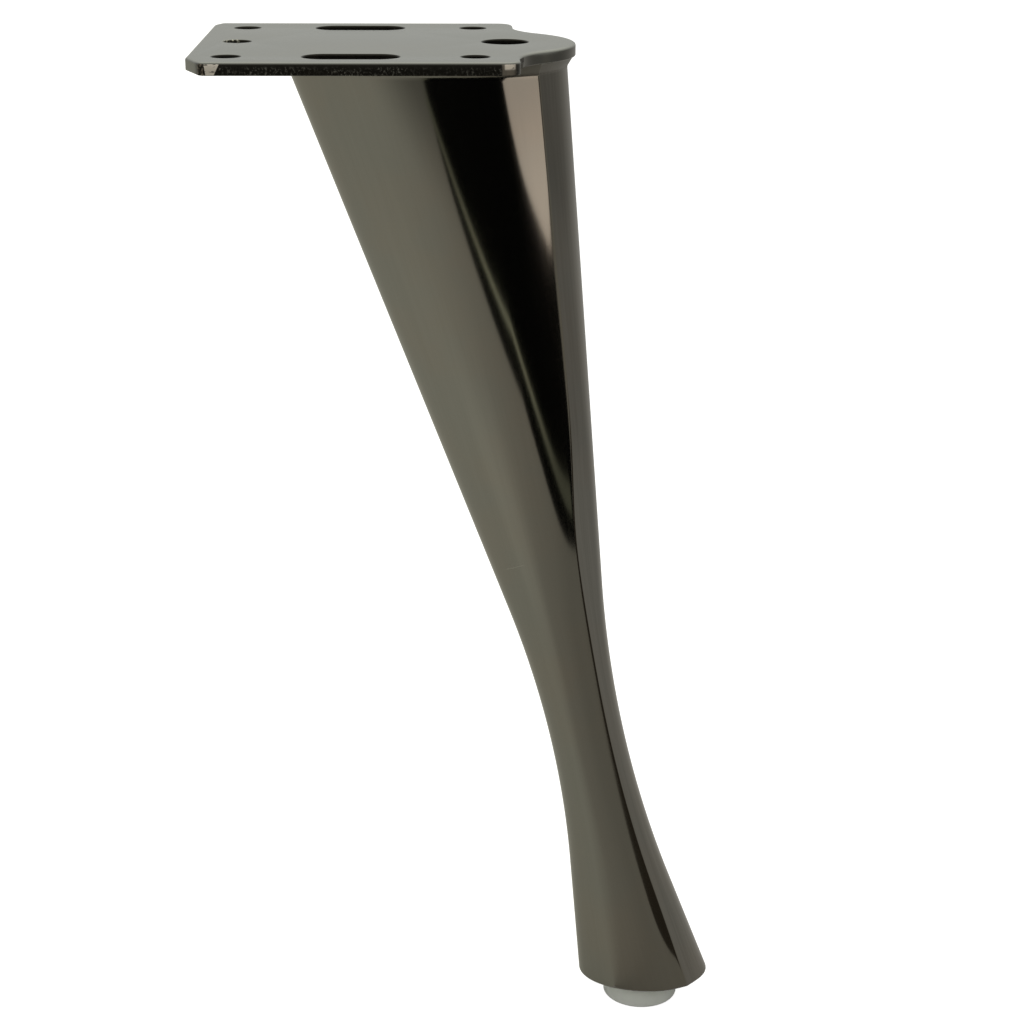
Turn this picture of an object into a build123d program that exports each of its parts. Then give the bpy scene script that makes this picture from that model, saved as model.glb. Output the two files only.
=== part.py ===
from build123d import *
import os
from math import cos, copysign, radians, sin, sqrt, tan

os.makedirs("parts", exist_ok=True)

# Heights: the origin is the middle of the screw pattern on the plate's top face, the leg hangs below it
total_height = 200.0
foot_showing = 5.2
plate_thickness = 2.3

# Mounting plate, seen from above: the nose points along +X
plate_depth = 60.0
plate_tail_reach = 28.7
plate_shoulder_reach = 29.5
front_corner_along_x = 3.2
front_corner_along_y = 7.5
back_corner_along_x = 1.2
back_corner_along_y = 3.0
tail_corner_round = 1.5
shoulder_corner_round = 3.0
nose_radius = 17.4
nose_centre = 23.0
nose_blend_radius = 14.0
plate_edge_break = 0.5

# Holes in the plate
screw_pitch = 43.4
screw_hole = 5.0
middle_hole_reach = 21.7
slot_length = 17.0
slot_width = 7.5
slot_pitch = 43.4
vent_hole = 8.5
vent_reach = 27.4

# Leg wall
wall = 1.2
rim_break = 0.35
collar_height = 1.9
collar_reach = 1.3

# Side view of the leg: each edge is a straight stretch, an arc and a straight stretch
# Leans are in degrees from the vertical, positive towards the nose on the way down
inner_top = -13.5
inner_top_lean_deg = 20.95
inner_foot = 43.95
inner_foot_lean_deg = 5.1
inner_arc = 210.0
outer_top = 38.75
outer_top_lean_deg = 4.65
outer_foot = 71.15
outer_foot_lean_deg = 21.3
outer_arc = 236.0

# Half the leg's depth from front to back, drawn the same way
half_depth_top = 16.0
half_depth_top_lean_deg = -4.3
half_depth_foot = 10.1
half_depth_foot_lean_deg = 4.9
half_depth_arc = 470.0

# Nose strip between the two creases: how far the nose tip stands out past them
strip_top = 5.8
strip_top_lean_deg = -1.2
strip_foot = 4.8
strip_foot_lean_deg = 2.6
strip_arc = 830.0

# Shape of one section, as shares of its own sizes
crease_share = 0.80
shoulder_share = 0.77
flank_slope = 0.45
nose_slope = 1.0
round_share = 0.5523
shoulder_pull_share = 0.40
crease_pull_share = 0.35
facet_share = 0.60
tip_share = 0.39
strip_growth_share = 0.45

# Foot plug
pad_diameter = 15.5
pad_centre = 56.95
pad_edge_break = 0.4
plug_height = 11.0
plug_recess = 0.8
plug_clearance = 0.1
plug_core = 12.0
plug_floor = 3.0

station_count = 14

rim_drop = total_height - foot_showing


def blended(drop, top, top_lean_deg, foot, foot_lean_deg, radius):
    """Size at a drop below the plate top: straight from the top, a tangent arc, straight to the rim."""
    a, b = radians(top_lean_deg), radians(foot_lean_deg)
    meet = (foot - tan(b) * rim_drop - top + tan(a) * plate_thickness) / (tan(a) - tan(b))
    corner = top + tan(a) * (meet - plate_thickness)
    side = copysign(1, b - a)
    reach = radius * tan(abs(b - a) / 2)
    first, last = meet - reach * cos(a), meet + reach * cos(b)
    if drop < first:
        return top + tan(a) * (drop - plate_thickness)
    if drop > last:
        return foot + tan(b) * (drop - rim_drop)
    centre = corner - reach * sin(a) + side * radius * cos(a)
    level = first - side * radius * sin(a)
    return centre - side * sqrt(radius ** 2 - (drop - level) ** 2)


def outline(drop, grow):
    """Six stretches round the leg at one drop, moved outwards by grow: tail, shoulder, nose and back."""
    tail = blended(drop, inner_top, inner_top_lean_deg, inner_foot, inner_foot_lean_deg, inner_arc) - grow
    tip = blended(drop, outer_top, outer_top_lean_deg, outer_foot, outer_foot_lean_deg, outer_arc) + grow
    deep = blended(drop, half_depth_top, half_depth_top_lean_deg, half_depth_foot,
                   half_depth_foot_lean_deg, half_depth_arc) + grow
    strip = blended(drop, strip_top, strip_top_lean_deg, strip_foot, strip_foot_lean_deg, strip_arc)
    strip = strip + strip_growth_share * grow
    crease_x, crease_y = tip - strip, crease_share * deep
    widest = crease_x - shoulder_share * deep
    run = crease_x - widest
    flank = [(tail, 0), (tail, round_share * deep),
             (widest - round_share * (widest - tail), deep), (widest, deep)]
    shoulder = [(widest, deep), (widest + shoulder_pull_share * run, deep),
                (crease_x - crease_pull_share * run, crease_y + flank_slope * crease_pull_share * run),
                (crease_x, crease_y)]
    nose = [(crease_x, crease_y),
            (crease_x + facet_share * strip, crease_y - nose_slope * facet_share * strip),
            (tip, tip_share * crease_y), (tip, 0)]
    back = [flank, shoulder, nose]
    front = [[(x, -y) for x, y in reversed(stretch)] for stretch in reversed(back)]
    return back + front


def spaced(first, last, count):
    """Drops at even steps from first to last."""
    return [first + (last - first) * i / (count - 1) for i in range(count)]


# Mounting plate: pressed steel, five screw holes, two slots and the vent over the hollow leg
with BuildPart() as mounting_plate:
    with BuildSketch(Plane.XY.offset(-plate_thickness)):
        with BuildLine():
            half = plate_depth / 2
            Polyline(
                (-plate_tail_reach, front_corner_along_y - half),
                (front_corner_along_x - plate_tail_reach, -half),
                (plate_shoulder_reach, -half),
                (plate_shoulder_reach, half),
                (back_corner_along_x - plate_tail_reach, half),
                (-plate_tail_reach, half - back_corner_along_y),
                close=True,
            )
        plain = make_face()
        tail_corners = plain.vertices().filter_by(lambda v: v.X < 0)
        fillet(tail_corners, tail_corner_round)
    extrude(amount=plate_thickness)
    with BuildSketch(Plane.XY.offset(-plate_thickness)):
        with Locations((nose_centre, 0)):
            Circle(nose_radius)
    extrude(amount=plate_thickness)
    upright = mounting_plate.edges().filter_by(Axis.Z)
    shoulders = upright.filter_by(lambda e: abs(e.center().X - plate_shoulder_reach) < 0.01)
    outer_corners = shoulders.filter_by(lambda e: abs(e.center().Y) > half - 0.01)
    nose_joints = shoulders.filter_by(lambda e: abs(e.center().Y) < half - 0.01)
    fillet(outer_corners, shoulder_corner_round)
    fillet(nose_joints, nose_blend_radius)
    chamfer(mounting_plate.faces().sort_by(Axis.Z)[-1].edges(), plate_edge_break)
    with BuildSketch(Plane.XY):
        with GridLocations(screw_pitch, screw_pitch, 2, 2):
            Circle(screw_hole / 2)
        with Locations((-middle_hole_reach, 0)):
            Circle(screw_hole / 2)
        with GridLocations(1, slot_pitch, 1, 2):
            SlotOverall(slot_length, slot_width)
        with Locations((vent_reach, 0)):
            Circle(vent_hole / 2)
    extrude(amount=-plate_thickness, mode=Mode.SUBTRACT)
mounting_plate.part.label = "mounting_plate"
export_step(mounting_plate.part, "parts/mounting_plate.step")

# Leg shell: hollow pressed sheet, lofted through its sections, with the weld collar under the plate
with BuildPart() as leg_shell:
    for drop in spaced(plate_thickness, rim_drop, station_count):
        with BuildSketch(Plane.XY.offset(-drop)):
            with BuildLine():
                for stretch in outline(drop, 0.0):
                    Bezier(*stretch)
            make_face()
    loft()
    chamfer(leg_shell.faces().sort_by(Axis.Z)[0].edges(), rim_break)
    collar_root = wall / 2
    collar_low = plate_thickness + collar_height * (1 + collar_root / collar_reach)
    for drop, grow in ((plate_thickness, collar_reach), (collar_low, -collar_root)):
        with BuildSketch(Plane.XY.offset(-drop)):
            with BuildLine():
                for stretch in outline(drop, grow):
                    Bezier(*stretch)
            make_face()
    loft(ruled=True)
    for drop in spaced(plate_thickness, rim_drop, station_count):
        with BuildSketch(Plane.XY.offset(-drop)):
            with BuildLine():
                for stretch in outline(drop, -wall):
                    Bezier(*stretch)
            make_face()
    loft(mode=Mode.SUBTRACT)
leg_shell.part.label = "leg_shell"
export_step(leg_shell.part, "parts/leg_shell.step")

# Foot plug: one moulding, a hollow plug pressed into the rim and the round pad that meets the floor
plug_low = rim_drop - plug_recess
plug_high = plug_low - plug_height
with BuildPart() as foot_plug:
    for drop in spaced(plug_high, plug_low, 3):
        with BuildSketch(Plane.XY.offset(-drop)):
            with BuildLine():
                for stretch in outline(drop, -wall - plug_clearance):
                    Bezier(*stretch)
            make_face()
    loft()
    with BuildSketch(Plane.XY.offset(-plug_high)):
        with Locations((pad_centre, 0)):
            Circle(plug_core / 2)
    extrude(amount=plug_high - plug_low + plug_floor, mode=Mode.SUBTRACT)
    with BuildSketch(Plane.XY.offset(-plug_low)):
        with Locations((pad_centre, 0)):
            Circle(pad_diameter / 2)
    extrude(amount=plug_low - total_height)
    chamfer(foot_plug.faces().sort_by(Axis.Z)[0].edges(), pad_edge_break)
foot_plug.part.label = "foot_plug"
export_step(foot_plug.part, "parts/foot_plug.step")

for piece in (mounting_plate, leg_shell, foot_plug):
    print(piece.part.label, round(piece.part.volume, 1), piece.part.bounding_box(), piece.part.is_valid)
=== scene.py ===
# %% [markdown]
# # A splayed furniture leg in dark nickel
# The real leg is three pieces: a pressed steel plate, a hollow leg of thin sheet welded under it, and a
# milky plastic foot pushed into the open end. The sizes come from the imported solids, which stay the frame.
# Every piece here is drawn again as a fine surface, because a mirror finish shows every facet of a coarse
# one.

# %% Load the frame
import math
import bpy
import numpy as np
from mathutils import Matrix, Vector
from mathutils.geometry import delaunay_2d_cdt


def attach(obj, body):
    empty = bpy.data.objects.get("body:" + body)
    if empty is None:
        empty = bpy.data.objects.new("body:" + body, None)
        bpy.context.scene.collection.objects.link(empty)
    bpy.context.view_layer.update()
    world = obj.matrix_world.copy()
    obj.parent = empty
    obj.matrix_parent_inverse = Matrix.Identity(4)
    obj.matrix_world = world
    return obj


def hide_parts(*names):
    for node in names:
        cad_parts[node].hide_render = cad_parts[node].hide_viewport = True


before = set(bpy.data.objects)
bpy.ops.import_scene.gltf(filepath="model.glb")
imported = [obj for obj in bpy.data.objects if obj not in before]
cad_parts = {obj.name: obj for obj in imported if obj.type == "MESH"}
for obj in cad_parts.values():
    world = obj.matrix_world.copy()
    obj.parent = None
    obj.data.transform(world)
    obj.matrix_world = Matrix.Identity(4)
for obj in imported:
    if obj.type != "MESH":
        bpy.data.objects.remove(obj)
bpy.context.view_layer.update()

MM = 0.001

# %% [markdown]
# ## A surface from a grid of points
# Each piece is a sheet of points in rows and columns, wrapped round so that its columns close on
# themselves. Face numbers follow from the grid's own numbering, so whole arrays do the work and no loop
# visits a vertex.

# %% Faces of a grid, and a mesh from arrays
def ring_faces(first, rows, columns, flip=False):
    """Quads between neighbouring rows of a grid whose columns close; flip turns their faces round."""
    i = np.arange(rows - 1)[:, None] * columns + first
    j = np.arange(columns)[None, :]
    k = (j + 1) % columns
    quads = np.stack([i + j, i + k, i + columns + k, i + columns + j], axis=-1).reshape(-1, 4)
    return quads[:, ::-1] if flip else quads


def fan_faces(centre, first, columns, flip=False):
    """Triangles from one centre point to each side of a ring that starts at first."""
    j = np.arange(columns)
    fan = np.stack([np.full(columns, centre), first + (j + 1) % columns, first + j], axis=-1)
    return fan[:, ::-1] if flip else fan


def make_piece(name, points, faces, sharp_degrees):
    """An object at the origin from points in millimetres, smooth where faces turn less than the angle."""
    mesh = bpy.data.meshes.new(name)
    mesh.from_pydata((np.asarray(points) * MM).tolist(), [], [f for block in faces for f in block.tolist()])
    mesh.polygons.foreach_set("use_smooth", np.ones(len(mesh.polygons), dtype=bool))
    mesh.set_sharp_from_angle(angle=math.radians(sharp_degrees))
    mesh.validate()
    piece = bpy.data.objects.new(name, mesh)
    bpy.context.scene.collection.objects.link(piece)
    mesh.calc_loop_triangles()
    print(name, len(mesh.vertices), "points", len(mesh.loop_triangles), "triangles")
    return piece

# %% [markdown]
# ## Side view of the leg
# Seen from the side, each edge of the leg is a straight run, a long arc and a straight run, the way a
# bending die leaves sheet metal. The same three-part line gives the leg's depth and the nose strip's width,
# so four such lines steer the whole form.

# %% Straight, arc, straight
PLATE, RIM, HEIGHT, WALL = 2.3, 194.8, 200.0, 1.2
# Size under the plate, lean there in degrees, size at the rim, lean there in degrees, radius of the arc
INNER_EDGE = (-13.5, 20.95, 43.95, 5.1, 210)
OUTER_EDGE = (38.75, 4.65, 71.15, 21.3, 236)
HALF_DEPTH = (16.0, -4.3, 10.1, 4.9, 470)
NOSE_STRIP = (5.8, -1.2, 4.8, 2.6, 830)
# Where the crease is worn back most, how far that spreads and how much it is
WORN_DROP, WORN_SPREAD, WORN_MOST = 95, 16, 1.0


def bent_edge(drop, top, top_lean, foot, foot_lean, radius):
    """Size at each drop below the plate: top + tan(lean) * drop, a tangent circle, a line to the rim."""
    a, b = math.radians(top_lean), math.radians(foot_lean)
    meet = (foot - math.tan(b) * RIM - top + math.tan(a) * PLATE) / (math.tan(a) - math.tan(b))
    side = math.copysign(1, b - a)
    reach = radius * math.tan(abs(b - a) / 2)
    first, last = meet - reach * math.cos(a), meet + reach * math.cos(b)
    corner = top + math.tan(a) * (meet - PLATE)
    centre = corner - reach * math.sin(a) + side * radius * math.cos(a)
    level = first - side * radius * math.sin(a)
    upper = top + math.tan(a) * (drop - PLATE)
    lower = foot + math.tan(b) * (drop - RIM)
    arc = centre - side * np.sqrt(np.maximum(radius ** 2 - (drop - level) ** 2, 0))
    return np.where(drop < first, upper, np.where(drop > last, lower, arc))


def leg_sizes(drop):
    """Tail, tip, half depth, strip width and the width worn off beside the strip, at each drop."""
    edges = (INNER_EDGE, OUTER_EDGE, HALF_DEPTH, NOSE_STRIP)
    tail, tip, deep, strip = (bent_edge(drop, *edge) for edge in edges)
    worn = WORN_MOST * np.exp(-((drop - WORN_DROP) / WORN_SPREAD) ** 2)
    return tail, tip, deep, strip, worn


waist = np.round(leg_sizes(np.array([120.0])), 2).ravel().tolist()
print("waist: tail, tip, half depth, strip, worn", waist)

# %% [markdown]
# ## One section of the leg
# A section is an oval whose nose is pressed flat between two creases. Half of it is three Bezier stretches:
# flank, shoulder and nose, and the other half is its mirror image. The crease is not knife sharp on the
# real leg: polishing rounds it over a fraction of a millimetre, and that narrow rounding carries the thin
# dark line that runs down the leg. So the last bit before the crease and the first after it give way to a
# bend. Above the waist the wheel also carried the crease up to a millimetre back along the shoulder.

# %% Points round a section
def bezier(c, t):
    """Cubic Bezier: (1-t)^3 c0 + 3(1-t)^2 t c1 + 3(1-t) t^2 c2 + t^3 c3, a row of t for each row of c."""
    t = t[..., None]
    return (1 - t) ** 3 * c[0] + 3 * (1 - t) ** 2 * t * c[1] + 3 * (1 - t) * t ** 2 * c[2] + t ** 3 * c[3]


# Points along each stretch
FLANK, SHOULDER, CREASE, NOSE = 44, 36, 9, 26
CREASE_ROUND = 0.26
# Shares of the half depth: where the crease lies, how far behind it the widest point is
CREASE_SHARE, SHOULDER_SHARE = 0.80, 0.77
# Slope of the shoulder at the crease, and how far the Bezier handles reach along their stretches
SHOULDER_SLOPE = 0.45
QUARTER, SHOULDER_PULL, CREASE_PULL, NOSE_PULL, TIP_PULL = 0.5523, 0.40, 0.35, 0.60, 0.39
STRIP_GROWTH = 0.45


def leg_rows(drop, grow):
    """Rings of points round the leg at each drop, moved outwards by grow: tail, back, nose, front."""
    drop, grow = np.asarray(drop, float), np.asarray(grow, float)
    tail, tip, deep, strip, worn = leg_sizes(drop)
    tail, tip, deep, strip = tail - grow, tip + grow, deep + grow, strip + STRIP_GROWTH * grow
    widest = tip - strip - SHOULDER_SHARE * deep
    strip = strip + worn
    crease_x, crease_y = tip - strip, CREASE_SHARE * deep + SHOULDER_SLOPE * worn
    run = crease_x - widest
    zero = np.zeros_like(drop)
    at = lambda x, y: np.stack([x, y], axis=-1)[:, None, :]
    flank = [at(tail, zero), at(tail, QUARTER * deep),
             at(widest - QUARTER * (widest - tail), deep), at(widest, deep)]
    back, drawn = CREASE_PULL * run, NOSE_PULL * strip
    shoulder = [at(widest, deep), at(widest + SHOULDER_PULL * run, deep),
                at(crease_x - back, crease_y + SHOULDER_SLOPE * back), at(crease_x, crease_y)]
    nose = [at(crease_x, crease_y), at(crease_x + drawn, crease_y - drawn),
            at(tip, TIP_PULL * crease_y), at(tip, zero)]
    before = CREASE_ROUND / (3 * np.linalg.norm(shoulder[3] - shoulder[2], axis=-1))
    after = CREASE_ROUND / (3 * np.linalg.norm(nose[1] - nose[0], axis=-1))
    even = lambda n: np.linspace(0, 1, n)[None, :]
    side_a = bezier(flank, even(FLANK) + zero[:, None])
    side_b = bezier(shoulder, even(SHOULDER) * (1 - before))
    side_c = bezier(nose, after + even(NOSE) ** 1.15 * (1 - after))
    t = even(CREASE)[..., None]
    bend = (1 - t) ** 2 * side_b[:, -1:] + 2 * (1 - t) * t * nose[0] + t ** 2 * side_c[:, :1]
    half = np.concatenate([side_a[:, :-1], side_b[:, :-1], bend[:, :-1], side_c], axis=1)
    front = half[:, -2:0:-1] * [1, -1]
    ring = np.concatenate([half, front], axis=1)
    height = np.broadcast_to(-drop[:, None, None], ring.shape[:2] + (1,))
    return np.concatenate([ring, height], axis=-1)


print("points round one section", leg_rows([50.0], [0.0]).shape[1])

# %% [markdown]
# ## The leg shell
# The shell is one sheet: it starts under the plate, slants in over the weld collar, runs down the leg,
# turns round the rim and climbs back up inside. A lathe cannot make it, because the section changes all the
# way down, so a profile of drop and grow is carried round the section instead. The rows crowd at the collar
# and the rim, where the sheet turns on a small radius.

# %% Profile of the shell, and its surface
def fillet_rows(corner, before, after, size, count):
    """A small quadratic bend at a corner of the profile, size millimetres along both of its sides."""
    corner, before, after = (np.array(p, float) for p in (corner, before, after))
    a = corner + (before - corner) * size / np.linalg.norm(before - corner)
    b = corner + (after - corner) * size / np.linalg.norm(after - corner)
    t = np.linspace(0, 1, count)[:, None]
    return (1 - t) ** 2 * a + 2 * (1 - t) * t * corner + t ** 2 * b


COLLAR_HEIGHT, COLLAR_REACH = 1.9, 1.3
OUTSIDE_ROWS, INSIDE_ROWS = 176, 40
# Each point is a drop and a grow
collar_top, collar_foot = (PLATE, COLLAR_REACH), (PLATE + COLLAR_HEIGHT, 0.0)
rim_edge, rim_inside, inside_top = (RIM, 0.0), (RIM, -WALL), (PLATE, -WALL)
outside_drop = np.linspace(PLATE + COLLAR_HEIGHT + 1.0, RIM - 1.2, OUTSIDE_ROWS)
inside_drop = np.linspace(RIM - 2, PLATE + 1, INSIDE_ROWS)
profile = np.concatenate([
    [inside_top],
    fillet_rows(collar_top, inside_top, collar_foot, 0.12, 4),
    fillet_rows(collar_foot, collar_top, rim_edge, 0.40, 7),
    np.stack([outside_drop, np.zeros(OUTSIDE_ROWS)], axis=-1),
    fillet_rows(rim_edge, collar_foot, rim_inside, 0.45, 7),
    fillet_rows(rim_inside, rim_edge, inside_top, 0.30, 5),
    np.stack([inside_drop, np.full(INSIDE_ROWS, -WALL)], axis=-1),
])
rings = leg_rows(profile[:, 0], profile[:, 1])
row_count, column_count = rings.shape[:2]
wrap = ring_faces(0, row_count, column_count)
close = ring_faces(0, 2, column_count) % column_count
close[:, :2] += (row_count - 1) * column_count
shell = make_piece("leg_shell_polished", rings.reshape(-1, 3), [wrap, close], 35)

# %% [markdown]
# The polishing wheel runs along the leg, so its marks follow the surface and not the room. Each point gets
# the place that it would have on a straight round bar: the angle round its own ring and the drop. A pattern
# stretched along the drop on that bar gives fine lengthwise marks with no seam. A second value says whether
# a point belongs to the nose strip, where the marks show most.

# %% Polishing places on the shell
steps = np.linalg.norm(np.diff(rings[:, :, :2], axis=1, append=rings[:, :1, :2]), axis=-1)
share = np.cumsum(steps, axis=1) - steps
turn = 2 * np.pi * share / steps.sum(axis=1, keepdims=True)
BAR_RADIUS = 14
bar = np.stack([BAR_RADIUS * np.cos(turn), BAR_RADIUS * np.sin(turn), -rings[:, :, 2]], axis=-1) * MM
places = shell.data.attributes.new("polish", "FLOAT_VECTOR", "POINT")
places.data.foreach_set("vector", bar.astype(np.float32).ravel())
column = np.arange(column_count)
tip_column = FLANK + SHOULDER + CREASE + NOSE - 4
on_strip = (np.abs(column - tip_column) <= NOSE - 1).astype(np.float32)
strip_value = shell.data.attributes.new("nose_strip", "FLOAT", "POINT")
strip_value.data.foreach_set("value", np.tile(on_strip, row_count))
print("strip columns", int(on_strip.sum()), "of", column_count)

# %% [markdown]
# ## The mounting plate
# The plate is punched from 2.3 mm steel. A punch leaves each upper edge drawn down in a soft round and each
# wall below it torn and rough, so the edge is a profile carried round the outline and round every hole. The
# outline is only arcs: a straight side is what lies between two of them. The flat faces are filled between
# the loops with Blender's constrained triangulation, which is simpler here than a grid with holes in it.

# %% Outline and holes of the plate
def arc(centre, radius, start, stop, count, hollow=False):
    """Points and outward directions of an arc; a hollow one bends inwards, with its centre outside."""
    angle = np.radians(np.linspace(start, stop, count))
    out = np.stack([np.cos(angle), np.sin(angle)], axis=-1)
    return np.array(centre) + (-radius if hollow else radius) * out, out


def rounded_corner(x, y, radius, start, stop, count):
    """The arc that rounds a corner between sides that face the start and stop angles."""
    faces = np.radians([start, stop])
    both = np.stack([np.cos(faces), np.sin(faces)], axis=-1)
    centre = np.array([x, y]) - radius * both.sum(axis=0) / (1 + both[0] @ both[1])
    return arc(centre, radius, start, stop, count)


def joined(parts):
    """One loop of points and one of directions from a list of arcs."""
    return np.concatenate([p for p, _ in parts]), np.concatenate([n for _, n in parts])


tail, shoulder, half = 28.7, 29.5, 30.0
tail_round, shoulder_round = 1.5, 3.0
nose_centre, nose_radius, blend = 23.0, 17.4, 14.0
blend_x = shoulder + blend
blend_y = math.sqrt((nose_radius + blend) ** 2 - (blend_x - nose_centre) ** 2)
nose_face = math.degrees(math.atan2(blend_y, blend_x - nose_centre))


def half_outline(cut_x, cut_y):
    """The front half of the outline, from a tail corner cut back by cut_x and cut_y round to the nose."""
    cut_face = 180 + math.degrees(math.atan2(cut_x, cut_y))
    return joined([
        rounded_corner(-tail, cut_y - half, tail_round, 180, cut_face, 7),
        rounded_corner(cut_x - tail, -half, tail_round, cut_face, 270, 11),
        rounded_corner(shoulder, -half, shoulder_round, 270, 360, 19),
        arc((blend_x, -blend_y), blend, 0, -nose_face, 25, hollow=True),
        arc((nose_centre, 0), nose_radius, -nose_face, 0, 31),
    ])


front_cut, back_cut = (3.2, 7.5), (1.2, 3.0)
screw_reach, screw_radius = 21.7, 2.5
vent_x, vent_radius = 27.4, 4.25
slot_length, slot_radius = 17.0, 3.75
slot_end = slot_length / 2 - slot_radius
(front_edge, front_out), (back_edge, back_out) = half_outline(*front_cut), half_outline(*back_cut)
outline = np.concatenate([front_edge, back_edge[-2::-1] * [1, -1]])
outline_out = np.concatenate([front_out, back_out[-2::-1] * [1, -1]])
loops = [(outline, outline_out)]
for x, y in ((1, 1), (-1, 1), (-1, -1), (1, -1), (-1, 0)):
    loops.append(arc((x * screw_reach, y * screw_reach), screw_radius, 0, 352.5, 48))
loops.append(arc((vent_x, 0), vent_radius, 0, 354, 60))
for y in (screw_reach, -screw_reach):
    right_half = arc((slot_end, y), slot_radius, -90, 90, 31)
    left_half = arc((-slot_end, y), slot_radius, 90, 270, 31)
    loops.append(joined([right_half, left_half]))
print("plate loops", [len(p) for p, _ in loops])

# %% Edges and faces of the plate
def plate_edge(points, out, wide, deep, hole):
    """Rows down an edge: a quarter ellipse, wide by deep, a straight wall, a small break at the bottom."""
    f = np.linspace(0, np.pi / 2, 9)
    step_in = np.concatenate([wide * (1 - np.sin(f)), [0, 0, 0.05, 0.12]])
    level = np.concatenate([-deep * (1 - np.cos(f)), [-1.4, 0.12 - PLATE, 0.04 - PLATE, -PLATE]])
    side = 1 if hole else -1
    flat = points[None] + side * step_in[:, None, None] * out[None]
    return np.concatenate([flat, np.broadcast_to(level[:, None, None], flat.shape[:2] + (1,))], axis=-1)


OUTLINE_ROLL, HOLE_ROLL = (0.8, 0.5), (0.35, 0.35)
plate_points, plate_faces, top_loops, low_loops, count = [], [], [], [], 0
for number, (points, out) in enumerate(loops):
    roll = HOLE_ROLL if number else OUTLINE_ROLL
    rows = plate_edge(points, out, *roll, number > 0)
    deep, wide = rows.shape[:2]
    plate_points.append(rows.reshape(-1, 3))
    plate_faces.append(ring_faces(count, deep, wide, flip=number == 0))
    top_loops.append(count + np.arange(wide))
    low_loops.append(count + (deep - 1) * wide + np.arange(wide))
    count += deep * wide
plate_points = np.concatenate(plate_points)


def fill(edge_loops, up):
    """Triangles inside the first loop; one with all its corners on one round hole lies in it, and goes."""
    index = np.concatenate(edge_loops)
    flat = [Vector(p[:2]) for p in plate_points[index].tolist()]
    sizes = [len(e) for e in edge_loops]
    starts = np.cumsum([0] + sizes)[:-1].tolist()
    sides = [(s + k, s + (k + 1) % n) for s, n in zip(starts, sizes) for k in range(n)]
    found = delaunay_2d_cdt(flat, sides, [], 1, 1e-6)
    origin = np.array([numbers[0] for numbers in found[3]])
    triangles = origin[np.array(found[2])]
    loop_of = np.repeat(np.arange(len(edge_loops)), sizes)[triangles]
    in_hole = (loop_of[:, 0] > 0) & (loop_of == loop_of[:, :1]).all(axis=1)
    triangles = triangles[~in_hole]
    corner = plate_points[index][triangles][:, :, :2]
    one, two = corner[:, 1] - corner[:, 0], corner[:, 2] - corner[:, 0]
    faces_up = one[:, 0] * two[:, 1] - one[:, 1] * two[:, 0] > 0
    triangles[faces_up != up] = triangles[faces_up != up][:, ::-1]
    return index[triangles]


plate_faces += [fill(top_loops, True), fill(low_loops, False)]
plate = make_piece("mounting_plate_pressed", plate_points, plate_faces, 20)
in_hole = (np.arange(count) >= low_loops[0][-1] + 1).astype(np.float32)
bore = plate.data.attributes.new("bore", "FLOAT", "POINT")
bore.data.foreach_set("value", in_hole)
print("plate top and bottom triangles", len(plate_faces[-2]), len(plate_faces[-1]))

# %% [markdown]
# ## The foot
# The foot is one soft moulding: a hollow plug in the shape of the leg's open end, and a round pad below it
# that stands on the floor. Its rings change from a circle to the leg's section and back, so one list of
# rows makes core, plug and pad, and the two ends close on a centre point.

# %% Rows of the foot
pad_x, pad_radius, core_radius, rounding = 56.95, 7.75, 6.0, 0.4
plug_recess, plug_height, plug_floor = 0.8, 11.0, 3.0
plug_low = RIM - plug_recess
plug_high, core_low = plug_low - plug_height, plug_low - plug_floor
pad_middle, underside_ring = RIM + 2, 3.0
clearance, skirt_rows = 0.1, 6
skirt = leg_rows(np.linspace(plug_high, plug_low, skirt_rows), np.full(skirt_rows, -WALL - clearance))
aim = np.arctan2(skirt[0, :, 1], skirt[0, :, 0] - skirt[0, :, 0].mean())


def round_row(radius, drop):
    """A circle about the pad's axis, its points facing the same way as the section's points."""
    level = np.full(len(aim), -drop)
    return np.stack([pad_x + radius * np.cos(aim), radius * np.sin(aim), level], axis=-1)[None]


edge_rows = []
for f in np.linspace(0, np.pi / 2, 9):
    step_in, step_up = rounding * (1 - math.cos(f)), rounding * (1 - math.sin(f))
    edge_rows.append(round_row(pad_radius - step_in, HEIGHT - step_up))
foot_rows = np.concatenate([
    round_row(core_radius, core_low), round_row(core_radius, plug_high), skirt,
    round_row(pad_radius, plug_low), round_row(pad_radius, pad_middle), *edge_rows,
    round_row(underside_ring, HEIGHT),
])
deep, wide = foot_rows.shape[:2]
centres = np.array([[pad_x, 0, -core_low], [pad_x, 0, -HEIGHT]])
foot_points = np.concatenate([foot_rows.reshape(-1, 3), centres])
foot_faces = [
    ring_faces(0, deep, wide),
    fan_faces(deep * wide, 0, wide, flip=True),
    fan_faces(deep * wide + 1, (deep - 1) * wide, wide),
]
foot = make_piece("foot_pad_moulded", foot_points, foot_faces, 35)

# %% [markdown]
# ## Which way the faces look
# A closed surface whose faces look outwards has a positive volume, the sum over its triangles of the
# signed volume to the origin. It is a quick test for an inside-out piece.

# %% Volume of each piece
def volume(piece):
    """Sum of a . (b x c) / 6 over the triangles, in cubic millimetres."""
    mesh = piece.data
    mesh.calc_loop_triangles()
    points = np.empty(len(mesh.vertices) * 3)
    mesh.vertices.foreach_get("co", points)
    index = np.empty(len(mesh.loop_triangles) * 3, dtype=np.int32)
    mesh.loop_triangles.foreach_get("vertices", index)
    a, b, c = points.reshape(-1, 3)[index.reshape(-1, 3)].transpose(1, 0, 2)
    return float((a * np.cross(b, c)).sum() / 6 / MM ** 3)


for piece in (shell, plate, foot):
    print(piece.name, "volume", round(volume(piece)), "cubic mm")

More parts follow.
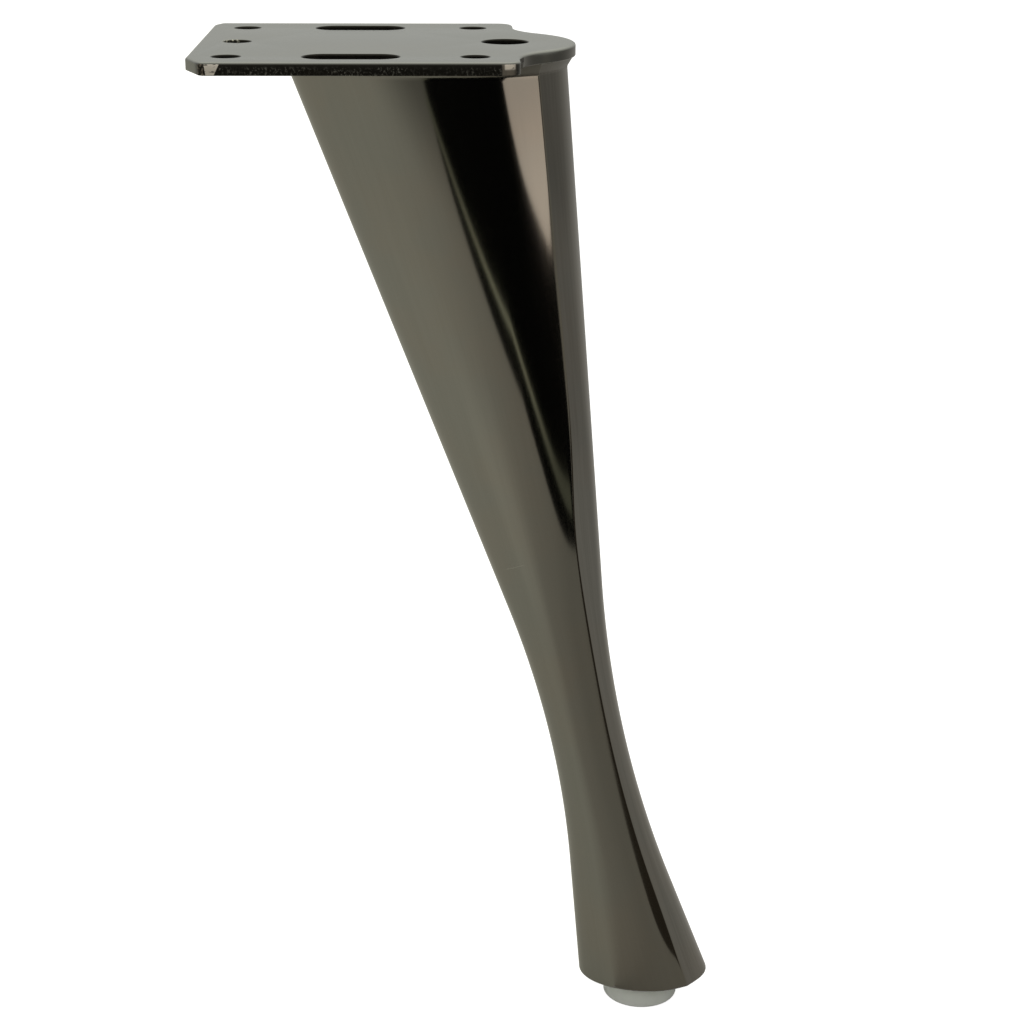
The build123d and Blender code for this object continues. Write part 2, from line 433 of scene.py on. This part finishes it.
# %% [markdown]
# ## Shader maths as Python
# A material is a small program of nodes. Wrapping a socket in a class whose operators add Math nodes lets
# the program read as a formula. One method adds every other kind of node from its type, settings and
# sockets.

# %% Wire and Paint
class Wire:
    """One output socket; + - * between wires and numbers add Math nodes to its tree."""

    def __init__(self, paint, socket):
        self.paint, self.socket = paint, socket

    def math(self, operation, first, second):
        return self.paint.node("ShaderNodeMath", {"operation": operation}, {0: first, 1: second})

    def __add__(self, other):
        return self.math("ADD", self, other)

    def __radd__(self, other):
        return self.math("ADD", other, self)

    def __sub__(self, other):
        return self.math("SUBTRACT", self, other)

    def __rsub__(self, other):
        return self.math("SUBTRACT", other, self)

    def __mul__(self, other):
        return self.math("MULTIPLY", self, other)

    def __rmul__(self, other):
        return self.math("MULTIPLY", other, self)

    def __abs__(self):
        return self.math("ABSOLUTE", self, 0)


class Paint:
    """The node tree of a material or of the world."""

    def __init__(self, owner):
        owner.use_nodes = True
        self.owner, self.tree = owner, owner.node_tree
        self.tree.nodes.clear()

    def node(self, kind, settings=None, sockets=None, out=0):
        """Adds a node: its settings first, then a value or a wire for each socket; returns one output."""
        made = self.tree.nodes.new(kind)
        for key, value in (settings or {}).items():
            setattr(made, key, value)
        for key, value in (sockets or {}).items():
            if isinstance(value, Wire):
                self.tree.links.new(value.socket, made.inputs[key])
            else:
                made.inputs[key].default_value = value
        return Wire(self, made.outputs[out]) if made.outputs else made

    def places(self):
        """Object coordinates."""
        return self.node("ShaderNodeTexCoord", out="Object")

    def axes(self, vector):
        """The x, y and z of a vector."""
        split = self.node("ShaderNodeSeparateXYZ", None, {0: vector}).socket.node
        return [Wire(self, split.outputs[k]) for k in range(3)]

    def stretched(self, vector, scale):
        """A vector with each axis multiplied."""
        return self.node("ShaderNodeVectorMath", {"operation": "MULTIPLY"}, {0: vector, 1: scale})

    def noise(self, vector, scale, detail=2.0, roughness=0.5):
        """Noise between 0 and 1."""
        return self.node("ShaderNodeTexNoise", None,
                         {"Vector": vector, "Scale": scale, "Detail": detail, "Roughness": roughness})

    def ramp(self, value, low, high, to_low=0.0, to_high=1.0):
        """A soft step from to_low to to_high as the value goes from low to high."""
        return self.node("ShaderNodeMapRange", {"interpolation_type": "SMOOTHSTEP"}, {
            "Value": value, "From Min": low, "From Max": high, "To Min": to_low, "To Max": to_high})

    def mixed(self, share, one, two):
        """Colour one where the share is 0, colour two where it is 1."""
        return self.node("ShaderNodeMix", {"data_type": "RGBA"}, {0: share, 6: one, 7: two}, out=2)

    def finish(self, sockets):
        """A Principled surface on the output."""
        surface = self.node("ShaderNodeBsdfPrincipled", None, sockets)
        self.node("ShaderNodeOutputMaterial", None, {"Surface": surface})
        return self.owner


print("shader helpers ready")

# %% [markdown]
# ## Dark nickel on the leg
# Black nickel over a polished leg reflects about a third of the light, a little less of the blue, so a
# white card looks pewter grey in it and a dark corner of the room looks black. The colour is nearly even;
# what makes it metal is the low roughness, with fine lengthwise marks and a faint cloudy tint from plating.
# The weld collar under the plate is out of the wheel's reach, so it is rougher; it is also darker, partly
# its own duller finish and partly painted shade under the plate, deepest on the nose strip. One short
# scratch crosses the front flank.

# %% Finish of the leg shell
SCRATCH_X, SCRATCH_Z, SCRATCH_TURN = 0.0295, -0.1007, math.radians(24.8)


def polished_nickel():
    """Base colour and roughness of the leg, told apart by where a point is."""
    paint = Paint(bpy.data.materials.new("polished_dark_nickel"))
    bar_place = paint.node("ShaderNodeAttribute", {"attribute_name": "polish"}, out="Vector")
    nose = paint.node("ShaderNodeAttribute", {"attribute_name": "nose_strip"}, out="Fac")
    marks = paint.noise(paint.stretched(bar_place, (1, 1, 0.022)), 2100, 4.0, 0.65)
    bands = paint.noise(paint.stretched(bar_place, (1, 1, 0.05)), 420, 2.0, 0.5)
    cloud = paint.noise(paint.places(), 60, 3.0, 0.55)
    x, y, z = paint.axes(paint.places())
    beside, above = x - SCRATCH_X, z - SCRATCH_Z
    along = beside * math.cos(SCRATCH_TURN) + above * math.sin(SCRATCH_TURN)
    across = above * math.cos(SCRATCH_TURN) - beside * math.sin(SCRATCH_TURN)
    thin, short = paint.ramp(abs(across), 0.00009, 0.00003), paint.ramp(abs(along), 0.0023, 0.0014)
    scratch = thin * short * paint.ramp(y, 0.0, -0.004)
    tint = paint.mixed(paint.ramp(cloud, 0.35, 0.65), (0.305, 0.298, 0.268, 1), (0.316, 0.298, 0.262, 1))
    streak = paint.ramp(marks * 0.6 + bands * 0.4, 0.36, 0.66) * (0.25 + 0.75 * nose)
    tint = paint.mixed(streak * 0.5, tint, (0.40, 0.385, 0.35, 1))
    tint = paint.mixed(scratch * 0.3, tint, (0.60, 0.59, 0.54, 1))
    # Painted shade under the plate: the collar is tinted darker, most on the nose strip; its extra roughness
    # is its own.
    collar = paint.ramp(z, -0.0047, -0.0041) * paint.ramp(cloud, 0.30, 0.60, 0.75, 1.0)
    tint = paint.mixed(collar * (0.08 + 0.37 * nose), tint, (0.10, 0.095, 0.085, 1))
    rough = 0.055 + 0.05 * streak + 0.25 * scratch + 0.02 * cloud + collar * (0.42 - 0.14 * nose)
    return paint.finish({"Base Color": tint, "Metallic": 1.0, "Roughness": rough})


shell.data.materials.append(polished_nickel())
print("leg shell:", shell.data.materials[0].name)

# %% [markdown]
# ## Dark nickel on the plate
# The plate was never polished, only plated, so the same metal is duller there. The torn walls are rough, and
# their near-black tint is painted shade: the two long edges are dark, with bright specks in their lower
# half, and the walls of the holes are dark too, apart from a few pale flakes in the middle hole at the tail.
# Every rounded edge is painted a little darker as well. At both ends of the front edge the shear left a
# bright facet with chipped plating. The one at the tail has a patch of painted shade beside it with brown
# specks, and past the one at the nose the edge is rubbed to a dull brown.

# %% Finish of the plate
def plated_steel():
    """Base colour, roughness and bump of the plate, told apart by where a point is."""
    paint = Paint(bpy.data.materials.new("plated_pressed_steel"))
    place = paint.places()
    x, y, z = paint.axes(place)
    grain = paint.noise(place, 900, 4.0, 0.6)
    cloud = paint.noise(place, 45, 3.0, 0.5)
    torn = paint.noise(paint.stretched(place, (1, 1, 0.7)), 2300, 3.0, 0.7)
    patch = paint.noise(place, 160, 2.0, 0.5)
    bore = paint.node("ShaderNodeAttribute", {"attribute_name": "bore"}, out="Fac")
    facing = paint.axes(paint.node("ShaderNodeNewGeometry", None, None, out="Normal"))[2]
    wall = 1 - paint.ramp(abs(facing), 0.25, 0.6)
    upright = 1 - paint.ramp(-1 * facing, 0.5, 0.9)
    long_side = paint.ramp(abs(y), 0.0270, 0.0294)
    rolled = paint.ramp(z, -0.00002, -0.00040) * upright
    # The torn long walls and the hole walls; the near-black tint given to them below is painted shade.
    torn_and_shaded_walls = rolled * long_side + paint.ramp(z, -0.00001, -0.00008) * upright * bore
    front = paint.ramp(y, -0.0288, -0.0296)
    left_end = paint.ramp(x - 0.5 * z, -0.0219, -0.0220) * paint.ramp(x + 0.15 * z, -0.0248, -0.0247)
    right_end = paint.ramp(x, 0.0265, 0.0268) * paint.ramp(x, 0.0286, 0.0284)
    right_end = right_end * paint.ramp(z, -0.0014, -0.0010)
    chip = paint.noise(paint.stretched(place, (0.6, 1, 1.6)), 900, 3.0, 0.6)
    facet = wall * front * (left_end + right_end) * paint.ramp(chip, 0.38, 0.46, 0.15, 1.0)
    beside = x + screw_reach * MM
    middle_hole = paint.ramp(beside * beside + y * y, 0.0000090, 0.0000080)
    flake = bore * middle_hole * paint.ramp(beside, 0.0006, -0.0006) * paint.ramp(torn, 0.50, 0.60) * upright
    rubbed = wall * front * paint.ramp(x, 0.0260, 0.0264)
    tint = paint.mixed(paint.ramp(cloud, 0.3, 0.7), (0.302, 0.304, 0.278, 1), (0.322, 0.316, 0.286, 1))
    # Painted shade: a patch beside the tail facet, painted near black like the walls, with brown specks on
    # it.
    shaded_tail_patch = wall * front * paint.ramp(x + 0.15 * z, -0.0247, -0.0248) * paint.ramp(x, -0.0264, -0.0260)
    speckle = paint.ramp(torn, 0.50, 0.66) * paint.ramp(z, -0.0006, -0.0011)
    speckle = speckle * paint.ramp(patch, 0.36, 0.62, 0.25, 1.0)
    # Painted shade: every rounded edge and wall is darkened a little, and the torn walls and the tail patch
    # are painted near black.
    tint = paint.mixed(rolled * 0.35, tint, (0.10, 0.098, 0.090, 1))
    tint = paint.mixed(torn_and_shaded_walls + shaded_tail_patch, tint, (0.026, 0.024, 0.020, 1))
    tint = paint.mixed(torn_and_shaded_walls * (1 - bore) * speckle * 0.7, tint, (0.36, 0.35, 0.31, 1))
    tint = paint.mixed(shaded_tail_patch * paint.ramp(torn, 0.46, 0.60) * 0.6, tint, (0.42, 0.34, 0.27, 1))
    tint = paint.mixed(rubbed, tint, (0.20, 0.176, 0.146, 1))
    tint = paint.mixed(facet, tint, (0.80, 0.73, 0.65, 1))
    tint = paint.mixed(flake, tint, (0.50, 0.48, 0.40, 1))
    rough = 0.10 + 0.05 * grain + 0.16 * torn_and_shaded_walls * (1 - facet) + 0.38 * (facet + flake) + 0.22 * rubbed
    height = torn * torn_and_shaded_walls * (1 - facet) + 0.02 * grain
    bump = paint.node("ShaderNodeBump", None, {"Strength": 0.35, "Distance": 0.0001, "Height": height})
    return paint.finish({"Base Color": tint, "Metallic": 1.0, "Roughness": rough, "Normal": bump})


plate.data.materials.append(plated_steel())
print("plate:", plate.data.materials[0].name)

# %% [markdown]
# ## Milky plastic
# The foot is a soft natural plastic: light goes a few millimetres into it and comes back, so it looks
# milky and has no hard shadow. Subsurface scattering gives that; plain transparency would show the rim
# through it.

# %% Finish of the foot
def milky_plastic():
    """Pale plastic with faint clouds and a fine moulded grain."""
    paint = Paint(bpy.data.materials.new("milky_plastic"))
    place = paint.places()
    cloud = paint.noise(place, 260, 2.0, 0.5)
    grain = paint.noise(place, 3200, 2.0, 0.5)
    tint = paint.mixed(cloud, (0.69, 0.71, 0.67, 1), (0.75, 0.77, 0.73, 1))
    bump = paint.node("ShaderNodeBump", None, {"Strength": 0.15, "Distance": 0.00005, "Height": grain})
    return paint.finish({
        "Base Color": tint, "Roughness": 0.30 + 0.10 * grain, "IOR": 1.48, "Normal": bump,
        "Subsurface Weight": 0.45, "Subsurface Radius": (0.0030, 0.0032, 0.0028), "Subsurface Scale": 1.0})


foot.data.materials.append(milky_plastic())
print("foot:", foot.data.materials[0].name)

# %% [markdown]
# ## Riding on the frame
# Each piece stands for one solid and rides on the one body of a leg that has no joints.

# %% Ride and replace
for piece, node, slot in ((shell, "leg_shell", "plated_shell"), (plate, "mounting_plate", "plated_plate"),
                          (foot, "foot_plug", "clear_plastic")):
    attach(piece, "root")
    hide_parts(node)

# %% [markdown]
# ## The studio
# A mirror finish is drawn by what stands round it. The leg stands on a grey sheet with painted shade that
# changes with
# the direction from the leg: lightest on its left, darker in front, darkest on its right. In front of the
# leg the sheet gives way to a dark tabletop with a narrow pale strip on it, up to a wall that glows warm,
# and a brown streak on the right, a painted shadow of the leg, darkens the nose. To the camera all of them
# are white. Each one lies flat on the floor, where the tilted flanks mirror it, and each card is a strip
# between two curves.

# %% Paper and cards
def studio_paper(name, colour_of, glow, kind="ShaderNodeBsdfDiffuse"):
    """A sheet that is white to the camera and has its own shade, or its own light, to everything else."""
    paint = Paint(bpy.data.materials.new(name))
    sheet = paint.node(kind, None, {"Color": colour_of(paint)})
    white = paint.node("ShaderNodeEmission", None, {"Color": (1, 1, 1, 1), "Strength": glow})
    seen = paint.node("ShaderNodeAddShader", None, {0: sheet, 1: white}) if glow < 1 else white
    camera = paint.node("ShaderNodeLightPath", out="Is Camera Ray")
    surface = paint.node("ShaderNodeMixShader", None, {0: camera, 1: sheet, 2: seen})
    paint.node("ShaderNodeOutputMaterial", None, {"Surface": surface})
    return paint.owner


LEG_X, LEG_Y = 0.045, -0.015


def graded(paint):
    """Painted shade of the sheet by the angle round the leg: 0 in front, negative on the left, pi behind."""
    x, y = paint.axes(paint.places())[:2]
    across, ahead = x - LEG_X, LEG_Y - y
    angle = x.math("ARCTAN2", across, ahead)
    away = across * across + ahead * ahead
    left = paint.ramp(angle, 0.02, -0.95)
    ring = paint.ramp(away, 0.010, 0.040) * paint.ramp(away, 0.15, 0.06)
    # A painted pool of light on the sheet, to the left of the leg.
    glow = paint.ramp(angle, -1.05, -0.70) * paint.ramp(angle, -0.22, -0.55)
    glow = glow * paint.ramp(away, 0.010, 0.020) * paint.ramp(away, 0.075, 0.030)
    front = 0.252 + 0.06 * paint.ramp(angle, 0.75, -0.10)
    front = front + left * (0.13 + 0.03 * ring) + 0.06 * glow
    side = 0.175 + 0.055 * paint.ramp(away, 1.9, 0.8) + 0.065 * paint.ramp(away, 0.25, 0.09)
    side = side + 0.05 * paint.ramp(angle, 1.70, 1.90) * paint.ramp(away, 0.09, 0.06)
    right = paint.ramp(angle, 1.30, 1.70)
    near = paint.ramp(y, -0.56, -0.36)
    shade = (front * (1 - right) + side * right) * (0.45 + 0.55 * near)
    shade = shade + 0.13 * paint.ramp(angle, 1.9, 2.6)
    tint = paint.mixed(left, (1.0, 0.935, 0.85, 1), (1.0, 0.975, 0.89, 1))
    tint = paint.mixed(right, tint, (1.0, 0.955, 0.945, 1))
    return paint.mixed(shade, (0, 0, 0, 1), tint)


def warm(paint):
    """Glow of the bright wall, lighter at its near end."""
    y = paint.axes(paint.places())[1]
    return paint.mixed(paint.ramp(y, -0.80, -0.48), (0.76, 0.67, 0.59, 1), (1.12, 0.97, 0.84, 1))


def faded(paint):
    """Shade of the pale strip, brightest in the middle of its length."""
    x = paint.axes(paint.places())[0]
    shade = 0.14 + 0.36 * paint.ramp(x, -0.13, 0.03) - 0.36 * paint.ramp(x, 0.02, 0.25)
    return paint.mixed(shade, (0, 0, 0, 1), (1.0, 1.0, 0.77, 1))


CARD_ROWS, CARD_COLUMNS = 5, 41


def card(name, height, one, two, material):
    """A strip at one height between two cubic Bezier edges: (1-v) * one(u) + v * two(u)."""
    u = np.linspace(0, 1, CARD_COLUMNS)[None, :]
    edges = [bezier([np.array(c, float)[None, None, :] for c in e], u)[0] for e in (one, two)]
    v = np.linspace(0, 1, CARD_ROWS)[:, None, None]
    flat = (1 - v) * edges[0] + v * edges[1]
    points = np.concatenate([flat, np.full(flat.shape[:2] + (1,), height)], axis=-1).reshape(-1, 3)
    first = np.arange(CARD_ROWS - 1)[:, None] * CARD_COLUMNS + np.arange(CARD_COLUMNS - 1)[None, :]
    corners = np.array([[0, 1, CARD_COLUMNS + 1, CARD_COLUMNS]])
    mesh = bpy.data.meshes.new(name)
    mesh.from_pydata(points.tolist(), [], (first.reshape(-1, 1) + corners).tolist())
    sheet = bpy.data.objects.new(name, mesh)
    mesh.materials.append(material)
    bpy.context.scene.collection.objects.link(sheet)


def plain(shade):
    """A colour function for a card of one shade."""
    return lambda paint: shade + (1,)


floor_z = -HEIGHT * MM
LAYER = 0.00005
card("floor_sheet", floor_z,
     [(-6, -6), (-2, -6), (2, -6), (6, -6)],
     [(-6, 6), (-2, 6), (2, 6), (6, 6)],
     studio_paper("graded_sheet", graded, 0.9))
card("dark_table", floor_z + LAYER,
     [(-0.150, -0.64), (-0.112, -0.330), (0.060, -0.308), (0.262, -0.160)],
     [(0.50, -1.60), (0.43, -0.60), (0.58, -0.57), (0.580, -0.445)],
     studio_paper("dark_tabletop", plain((0.003, 0.003, 0.003)), 1.0))
card("pale_strip", floor_z + 2 * LAYER,
     [(-0.140, -0.536), (0.008, -0.302), (0.134, -0.364), (0.268, -0.192)],
     [(-0.131, -0.546), (0.015, -0.311), (0.124, -0.377), (0.292, -0.218)],
     studio_paper("pale_edge", faded, 1.0))
card("bright_wall", floor_z + 3 * LAYER,
     [(0.494, -0.854), (0.425, -0.591), (0.577, -0.566), (0.558, -0.440)],
     [(1.20, -2.60), (1.50, -2.30), (1.80, -2.00), (2.40, -1.55)],
     studio_paper("warm_wall", warm, 1.0, "ShaderNodeEmission"))
# A painted shadow of the leg: a brown streak lying on the floor to its front right.
card("shade_streak", floor_z + 4 * LAYER,
     [(0.112, -0.046), (0.168, -0.142), (0.205, -0.134), (0.360, -0.205)],
     [(0.108, -0.036), (0.160, -0.042), (0.260, -0.055), (0.600, -0.085)],
     studio_paper("painted_leg_shadow", plain((0.040, 0.033, 0.026)), 1.0))

# %% [markdown]
# ## Light and camera
# The surround is the only lamp besides the warm wall. It is white overhead and dims towards the horizon,
# like a wide soft box over a table, and the camera sees it as plain white. The camera stands 0.4 m in front
# of the leg, a little to the right of the plate's middle, and looks down at it by 19 degrees.

# %% World, camera, view
world = bpy.data.worlds.new("white_surround")
bpy.context.scene.world = world
sky = Paint(world)
up = sky.axes(sky.node("ShaderNodeTexCoord", out="Generated"))[2]
seen = sky.node("ShaderNodeLightPath", out="Is Camera Ray")
level = sky.ramp(up, 0.05, 0.75, 0.45, 1.05)
air = sky.mixed(seen, (0.985, 1.0, 0.935, 1), (1, 1, 1, 1))
background = sky.node("ShaderNodeBackground", None, {"Color": air, "Strength": level + seen * (1 - level)})
sky.node("ShaderNodeOutputWorld", None, {"Surface": background})

camera = bpy.data.objects.new("camera", bpy.data.cameras.new("camera"))
bpy.context.scene.collection.objects.link(camera)
SENSOR, FOCAL_PIXELS, PHOTO_PIXELS = 36, 2151.5, 1024
CAMERA_PLACE = (0.01739, -0.40222, 0.04784)
PAN, LOOK_DOWN, ROLL = (math.radians(angle) for angle in (-1.667, 19.116, 0.273))
camera.data.sensor_width = SENSOR
camera.data.lens = SENSOR * FOCAL_PIXELS / PHOTO_PIXELS
camera.data.clip_start = 0.01
turn_z = Matrix.Rotation(PAN, 4, "Z")
tilt_x = Matrix.Rotation(math.pi / 2 - LOOK_DOWN, 4, "X")
roll_z = Matrix.Rotation(ROLL, 4, "Z")
camera.matrix_world = Matrix.Translation(CAMERA_PLACE) @ turn_z @ tilt_x @ roll_z
bpy.context.scene.camera = camera
bpy.context.scene.view_settings.view_transform = "Standard"
print("camera", [round(v, 4) for v in camera.location])
